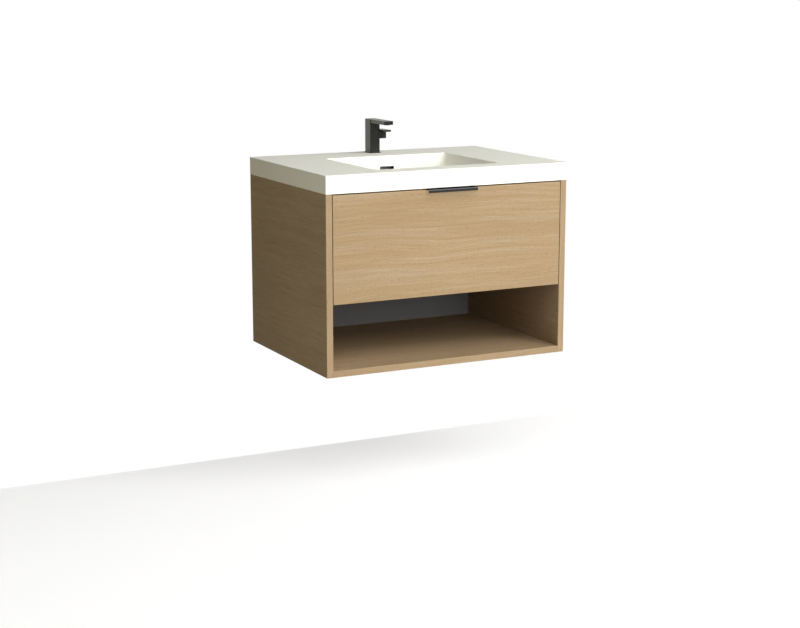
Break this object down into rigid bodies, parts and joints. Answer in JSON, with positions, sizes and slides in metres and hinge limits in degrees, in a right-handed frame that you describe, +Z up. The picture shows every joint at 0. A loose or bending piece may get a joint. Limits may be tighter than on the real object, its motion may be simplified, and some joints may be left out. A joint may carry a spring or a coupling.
{
  "type": "floating vanity",
  "caption": "Wall-hung bathroom vanity in oak veneer with an open bay, a wide drawer with a black edge pull, a white top with a rectangular basin and a square black mixer tap.",
  "frame": {"origin": "on the wall plane, midway between the side panels, at the underside of the carcass", "axes": "+X to the right seen from the front, +Y into the wall, +Z up"},
  "size_m": [0.762, 0.5635, 0.66],
  "materials": {
    "oak": "satin",
    "grey_board": "matte",
    "birch": "satin",
    "zinc_steel": "satin",
    "chromed_brass": "polished",
    "brass": "satin",
    "black_metal": "satin",
    "rubber": "matte",
    "white_plastic": "satin",
    "grey_plastic": "satin",
    "cast_white": "gloss"
  },
  "bodies": {
    "cabinet": {"side_left": "oak", "side_right": "oak", "bottom_panel": "oak", "divider_panel": "oak", "back_panel": "grey_board", "hanging_rail": "birch", "lower_rail": "birch", "front_rail": "birch", "dowels": "birch", "cam_bolts": "zinc_steel", "cam_locks": "zinc_steel", "corner_blocks": "birch", "bumpers": "white_plastic", "cabinet_cleat": "zinc_steel", "wall_cleat": "zinc_steel", "carcass_screws": "zinc_steel", "basin_top": "cast_white", "overflow_sleeve": "black_metal", "overflow_duct": "white_plastic", "waste_body": "black_metal", "waste_gasket": "rubber", "waste_washer": "zinc_steel", "waste_nut": "brass", "tailpiece": "chromed_brass", "tap_gasket": "rubber", "tap_base_plate": "black_metal", "tap_body": "black_metal", "tap_aerator": "black_metal", "tap_cartridge": "white_plastic", "cartridge_nut": "brass", "tap_stud": "zinc_steel", "tap_rubber_washer": "rubber", "tap_steel_washer": "zinc_steel", "tap_nut": "brass", "slide_outer_left": "zinc_steel", "slide_outer_right": "zinc_steel"},
    "drawer": {"slide_inner_left": "zinc_steel", "slide_inner_right": "zinc_steel", "drawer_front": "oak", "edge_pull": "black_metal", "drawer_box_front": "birch", "drawer_side_left": "birch", "drawer_side_right": "birch", "drawer_back_left": "birch", "drawer_back_right": "birch", "notch_wall_left": "birch", "notch_wall_right": "birch", "notch_wall_front": "birch", "drawer_bottom": "birch", "drawer_screws": "zinc_steel"},
    "slide_middles": {"slide_middle_left": "zinc_steel", "slide_middle_right": "zinc_steel"},
    "outer_cages": {"outer_ball_cages": "grey_plastic"},
    "inner_cages": {"inner_ball_cages": "grey_plastic"},
    "plug": {"waste_plug": "black_metal"},
    "mixer_turret": {"mixer_spindle": "white_plastic"},
    "mixer_lever": {"tap_lever": "black_metal", "lever_stem": "zinc_steel", "lever_screw": "zinc_steel"}
  },
  "joints": [
    {"name": "drawer_slide", "type": "slide", "parent": "cabinet", "child": "drawer", "axis": [0, -1, 0], "range_m": [0, 0.45]},
    {"name": "middle_slide", "type": "slide", "parent": "cabinet", "child": "slide_middles", "axis": [0, -1, 0], "range_m": [0, 0.225]},
    {"name": "outer_cage_slide", "type": "slide", "parent": "cabinet", "child": "outer_cages", "axis": [0, -1, 0], "range_m": [0, 0.1125]},
    {"name": "inner_cage_slide", "type": "slide", "parent": "cabinet", "child": "inner_cages", "axis": [0, -1, 0], "range_m": [0, 0.3375]},
    {"name": "plug_lift", "type": "slide", "parent": "cabinet", "child": "plug", "axis": [0, 0, 1], "range_m": [0, 0.009]},
    {"name": "mixer_turn", "type": "hinge", "parent": "cabinet", "child": "mixer_turret", "pos_m": [0.009, -0.0475, 0.6113], "axis": [1, 0, 0], "range_deg": [-45, 45]},
    {"name": "lever_tilt", "type": "hinge", "parent": "mixer_turret", "child": "mixer_lever", "pos_m": [0.009, -0.0475, 0.6113], "axis": [0, 0, 1], "range_deg": [0, 20]}
  ],
  "couplings": [
    {"joint": "middle_slide", "follows": "drawer_slide", "ratio": 0.5},
    {"joint": "outer_cage_slide", "follows": "drawer_slide", "ratio": 0.25},
    {"joint": "inner_cage_slide", "follows": "drawer_slide", "ratio": 0.75}
  ]
}
